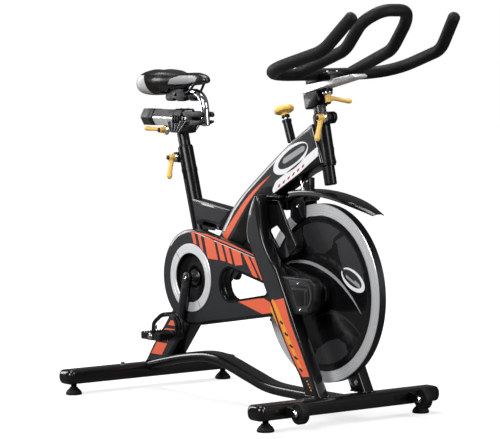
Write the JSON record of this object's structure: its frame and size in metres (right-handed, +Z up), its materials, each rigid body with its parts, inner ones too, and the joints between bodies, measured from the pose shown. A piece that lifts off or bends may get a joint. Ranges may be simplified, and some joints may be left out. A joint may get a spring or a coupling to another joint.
{
  "type": "exercise bike",
  "caption": "Indoor cycling bike: steel frame on floor stabilizers, belt-driven flywheel with a friction brake, and sliding saddle and handlebar under lever clamps.",
  "frame": {"origin": "middle of the footprint's overall length and width, on the floor", "axes": "+X towards the handlebar, +Y to the rider's left, +Z up"},
  "size_m": [1.2021, 0.6306, 1.1169],
  "materials": {
    "frame_paint": "gloss black powder coat",
    "satin_paint": "satin charcoal paint",
    "guard_plastic": "moulded, semi-gloss black with printed colour bands",
    "black_plastic": "fine moulded texture",
    "rubber": "moulded rubber",
    "foam_grip": "soft closed-cell grip foam",
    "chrome": "bright chrome plate",
    "wheel_steel": "turned and plated rim",
    "silver_metal": "brushed and clear coated",
    "dark_steel": "dark plated steel",
    "amber_plastic": "moulded amber plastic",
    "saddle_cover": "stitched vinyl over foam"
  },
  "bodies": {
    "frame": {"front_stabilizer": "frame_paint", "rear_stabilizer": "frame_paint", "front_cap_right": "black_plastic", "front_cap_left": "black_plastic", "rear_cap_right": "black_plastic", "rear_cap_left": "black_plastic", "base_beam": "frame_paint", "bottom_bracket_shell": "frame_paint", "rear_strut": "frame_paint", "main_beam": "frame_paint", "head_tube": "frame_paint", "seat_tube": "frame_paint", "link_plate": "frame_paint", "fork_leg_right": "frame_paint", "fork_leg_left": "frame_paint", "fork_crown": "frame_paint", "chain_guard": "guard_plastic", "chain_guard_back": "black_plastic", "crank_ring": "silver_metal", "drive_belt": "rubber", "flywheel_axle": "chrome", "axle_mount_right": "black_plastic", "axle_mount_left": "black_plastic", "sweat_guard": "black_plastic"},
    "crankset": {"crank_spindle": "dark_steel", "drive_pulley": "silver_metal", "crank_arm_right": "dark_steel", "crank_arm_left": "dark_steel"},
    "pedal_right": {"pedal_right": "dark_steel", "toe_cage_right": "black_plastic"},
    "pedal_left": {"pedal_left": "dark_steel", "toe_cage_left": "black_plastic"},
    "flywheel": {"flywheel": "wheel_steel", "flywheel_cover_right": "guard_plastic", "flywheel_cover_left": "guard_plastic"},
    "brake_rod": {"brake_rod": "chrome"},
    "brake_knob": {"brake_knob": "amber_plastic"},
    "brake_shoe": {"brake_shoe": "satin_paint", "brake_caliper": "satin_paint"},
    "seat_post": {"seat_post": "satin_paint"},
    "seat_slide": {"seat_rail": "silver_metal", "seat_rail_cap": "black_plastic", "seat_pillar": "chrome", "seat_rail_fork": "black_plastic"},
    "saddle": {"saddle": "saddle_cover", "saddle_rails": "chrome", "saddle_clamp": "dark_steel"},
    "handlebar_post": {"handlebar_post": "satin_paint"},
    "handlebar": {"handlebar_slide": "chrome", "handlebar": "foam_grip"},
    "foot_front_right": {"foot_front_right": "rubber"},
    "foot_front_left": {"foot_front_left": "rubber"},
    "foot_rear_right": {"foot_rear_right": "rubber"},
    "foot_rear_left": {"foot_rear_left": "rubber"},
    "transport_wheel_right": {"transport_wheel_right": "rubber"},
    "transport_wheel_left": {"transport_wheel_left": "rubber"},
    "head_clamp_lever": {"head_clamp_lever": "amber_plastic"},
    "seat_clamp_lever": {"seat_clamp_lever": "amber_plastic"},
    "seat_slide_lever": {"seat_slide_lever": "amber_plastic"},
    "handlebar_slide_lever": {"handlebar_slide_lever": "amber_plastic"}
  },
  "joints": [
    {"name": "flywheel_spin", "type": "hinge", "parent": "frame", "child": "flywheel", "pos_m": [0.25505, 0, 0.342], "axis": [0, 1, 0], "continuous": true},
    {"name": "crank_spin", "type": "hinge", "parent": "frame", "child": "crankset", "pos_m": [-0.25545, 0, 0.3512], "axis": [0, 1, 0], "continuous": true},
    {"name": "pedal_right_spin", "type": "hinge", "parent": "crankset", "child": "pedal_right", "pos_m": [-0.30145, -0.143, 0.18754], "axis": [0, 1, 0], "continuous": true},
    {"name": "pedal_left_spin", "type": "hinge", "parent": "crankset", "child": "pedal_left", "pos_m": [-0.20945, 0.143, 0.51486], "axis": [0, 1, 0], "continuous": true},
    {"name": "brake_push", "type": "slide", "parent": "frame", "child": "brake_rod", "axis": [0.3649, 0, -0.9311], "range_m": [0, 0.0045], "stiffness_N_per_m": 8000, "springref_m": -0.005},
    {"name": "brake_knob_turn", "type": "hinge", "parent": "brake_rod", "child": "brake_knob", "pos_m": [0.11805, 0, 0.737], "axis": [0.3649, 0, -0.9311], "range_deg": [0, 1080]},
    {"name": "brake_shoe_advance", "type": "slide", "parent": "brake_rod", "child": "brake_shoe", "axis": [0.3649, 0, -0.9311], "range_m": [0, 0.0045]},
    {"name": "seat_post_slide", "type": "slide", "parent": "frame", "child": "seat_post", "axis": [-0.2908, 0, 0.9568], "range_m": [0, 0.18]},
    {"name": "seat_rail_slide", "type": "slide", "parent": "seat_post", "child": "seat_slide", "axis": [1, 0, 0], "range_m": [0, 0.08]},
    {"name": "saddle_tilt", "type": "hinge", "parent": "seat_slide", "child": "saddle", "pos_m": [-0.39195, 0, 0.872], "axis": [0, 1, 0], "range_deg": [-10, 6]},
    {"name": "handlebar_post_slide", "type": "slide", "parent": "frame", "child": "handlebar_post", "axis": [-0.2231, 0, 0.9748], "range_m": [0, 0.12]},
    {"name": "handlebar_rail_slide", "type": "slide", "parent": "handlebar_post", "child": "handlebar", "axis": [0.9774, 0, 0.2113], "range_m": [-0.1, 0]},
    {"name": "head_clamp_turn", "type": "hinge", "parent": "frame", "child": "head_clamp_lever", "pos_m": [0.27805, -0.014, 0.817], "axis": [0, -1, 0], "range_deg": [0, 120]},
    {"name": "seat_clamp_turn", "type": "hinge", "parent": "frame", "child": "seat_clamp_lever", "pos_m": [-0.40795, -0.014, 0.686], "axis": [0, -1, 0], "range_deg": [0, 120]},
    {"name": "seat_slide_clamp_turn", "type": "hinge", "parent": "seat_post", "child": "seat_slide_lever", "pos_m": [-0.43795, -0.024, 0.765], "axis": [0, -1, 0], "range_deg": [0, 120]},
    {"name": "handlebar_slide_clamp_turn", "type": "hinge", "parent": "handlebar_post", "child": "handlebar_slide_lever", "pos_m": [0.26624, 0, 0.89391], "axis": [0.2113, 0, -0.9774], "range_deg": [0, 100]},
    {"name": "transport_wheel_right_spin", "type": "hinge", "parent": "frame", "child": "transport_wheel_right", "pos_m": [0.41405, -0.213, 0.052], "axis": [0, 1, 0], "continuous": true},
    {"name": "transport_wheel_left_spin", "type": "hinge", "parent": "frame", "child": "transport_wheel_left", "pos_m": [0.41405, 0.213, 0.052], "axis": [0, 1, 0], "continuous": true},
    {"name": "foot_front_right_level", "type": "slide", "parent": "frame", "child": "foot_front_right", "axis": [0, 0, -1], "range_m": [0, 0.015]},
    {"name": "foot_front_left_level", "type": "slide", "parent": "frame", "child": "foot_front_left", "axis": [0, 0, -1], "range_m": [0, 0.015]},
    {"name": "foot_rear_right_level", "type": "slide", "parent": "frame", "child": "foot_rear_right", "axis": [0, 0, -1], "range_m": [0, 0.015]},
    {"name": "foot_rear_left_level", "type": "slide", "parent": "frame", "child": "foot_rear_left", "axis": [0, 0, -1], "range_m": [0, 0.015]}
  ],
  "couplings": [
    {"joint": "crank_spin", "follows": "flywheel_spin", "ratio": 0.27619},
    {"joint": "brake_knob_turn", "follows": "brake_shoe_advance", "rad_per_m": 4188}
  ]
}
